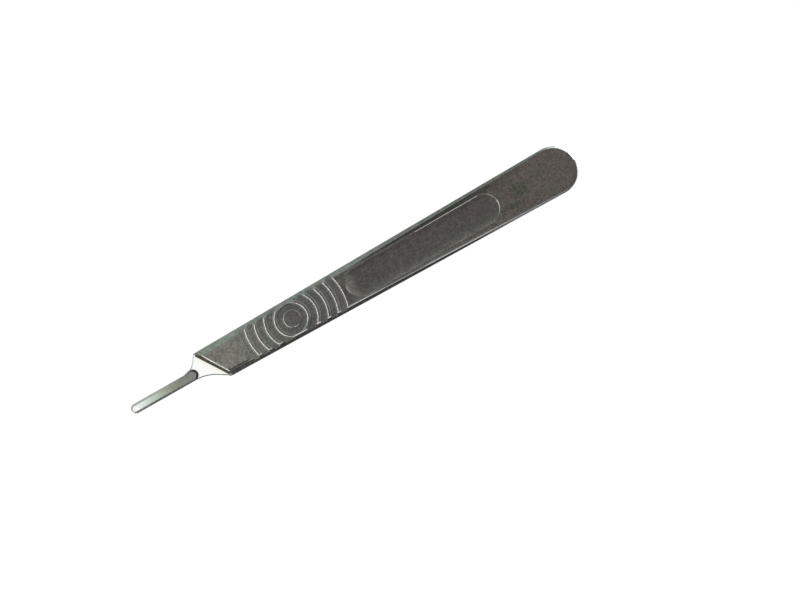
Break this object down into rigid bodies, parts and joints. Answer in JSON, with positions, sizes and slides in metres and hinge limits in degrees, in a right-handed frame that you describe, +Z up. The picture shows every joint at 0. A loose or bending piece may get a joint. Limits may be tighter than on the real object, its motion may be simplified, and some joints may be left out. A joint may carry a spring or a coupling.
{
  "type": "scalpel handle",
  "caption": "Flat one-piece steel scalpel handle that widens to a round butt, with ringed grip ridges, a bare label panel, an oblique shoulder and a narrow lug that takes a slotted blade.",
  "frame": {"origin": "under the middle of the length, on the plane of the lower face", "axes": "+X from the nose to the butt, +Y to the edge opposite the cutting edge, +Z up out of the face that carries the blade lug"},
  "size_m": [0.125, 0.0122, 0.0036],
  "materials": {
    "satin_steel": "dark satin stainless steel, polished bright on the web at the nose"
  },
  "bodies": {
    "root": {"scalpel_handle": "satin_steel"}
  },
  "joints": []
}
